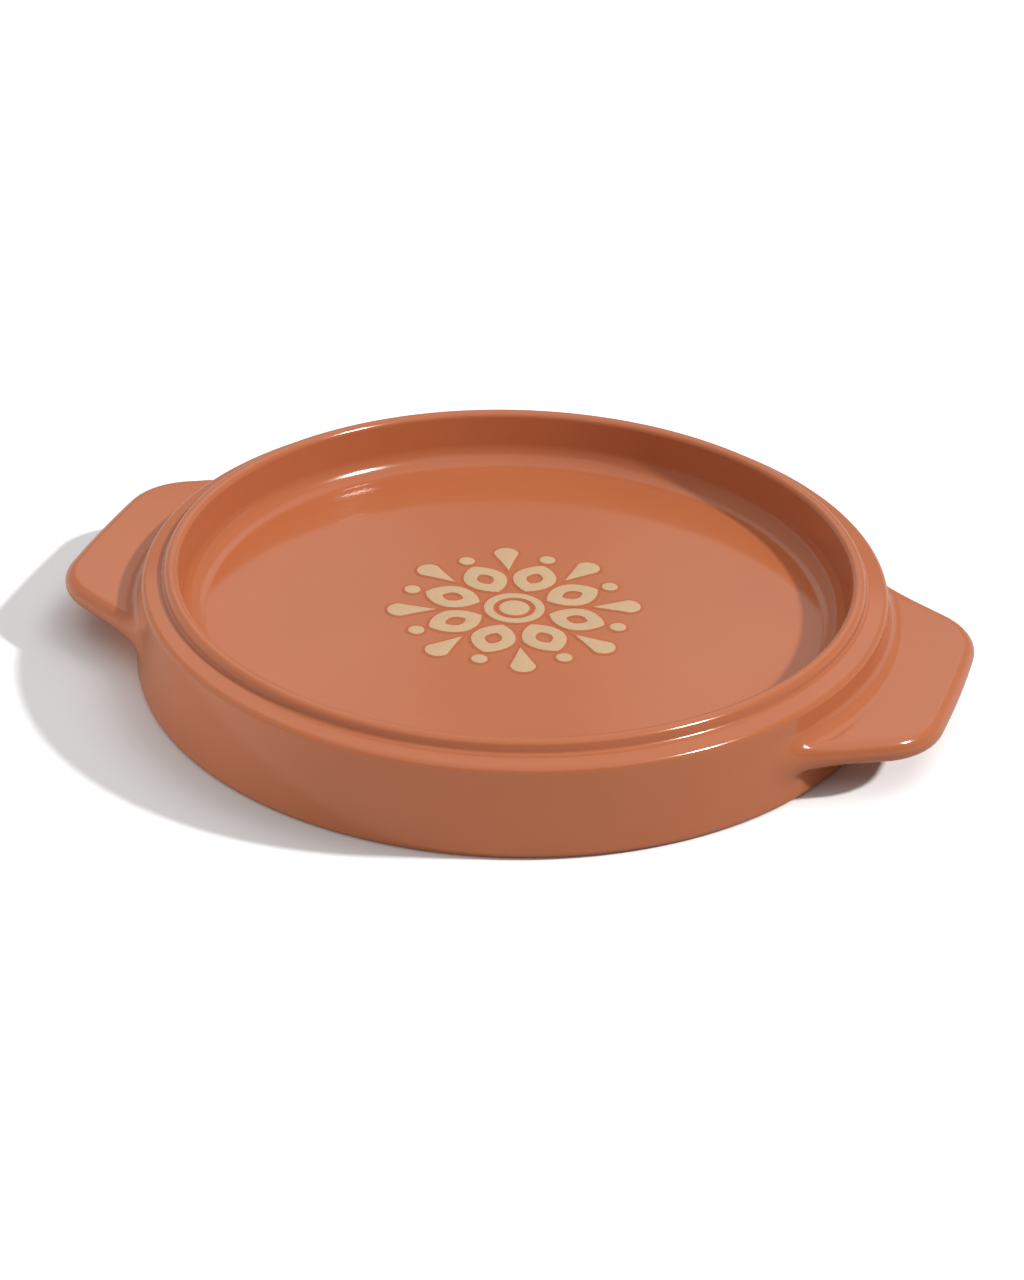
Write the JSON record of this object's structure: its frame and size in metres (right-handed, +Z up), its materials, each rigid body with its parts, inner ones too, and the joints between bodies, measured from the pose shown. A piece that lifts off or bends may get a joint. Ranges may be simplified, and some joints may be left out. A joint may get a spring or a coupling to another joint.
{
  "type": "baking dish",
  "caption": "Round shallow glazed terracotta baking dish with a stepped rim, broad lug handles and a raised cream slip rosette on its floor.",
  "frame": {"origin": "on the dish's axis, in the plane of the resting ring", "axes": "+Z up out of the dish, +X along the line through both handles, +Y across it"},
  "size_m": [0.344, 0.2864, 0.0407],
  "materials": {
    "terracotta_glaze": "smooth glossy terracotta glaze, bare clay on the resting ring",
    "cream_slip": "matte, faintly sandy cream slip"
  },
  "bodies": {
    "root": {"dish_body": "terracotta_glaze", "handle_right": "terracotta_glaze", "handle_left": "terracotta_glaze", "rosette_centre": "cream_slip", "rosette_ring": "cream_slip", "rosette_petal_1": "cream_slip", "rosette_petal_2": "cream_slip", "rosette_petal_3": "cream_slip", "rosette_petal_4": "cream_slip", "rosette_petal_5": "cream_slip", "rosette_petal_6": "cream_slip", "rosette_petal_7": "cream_slip", "rosette_petal_8": "cream_slip", "rosette_leaf_1": "cream_slip", "rosette_leaf_2": "cream_slip", "rosette_leaf_3": "cream_slip", "rosette_leaf_4": "cream_slip", "rosette_leaf_5": "cream_slip", "rosette_leaf_6": "cream_slip", "rosette_leaf_7": "cream_slip", "rosette_leaf_8": "cream_slip", "rosette_dot_1": "cream_slip", "rosette_dot_2": "cream_slip", "rosette_dot_3": "cream_slip", "rosette_dot_4": "cream_slip", "rosette_dot_5": "cream_slip", "rosette_dot_6": "cream_slip", "rosette_dot_7": "cream_slip", "rosette_dot_8": "cream_slip"}
  },
  "joints": []
}
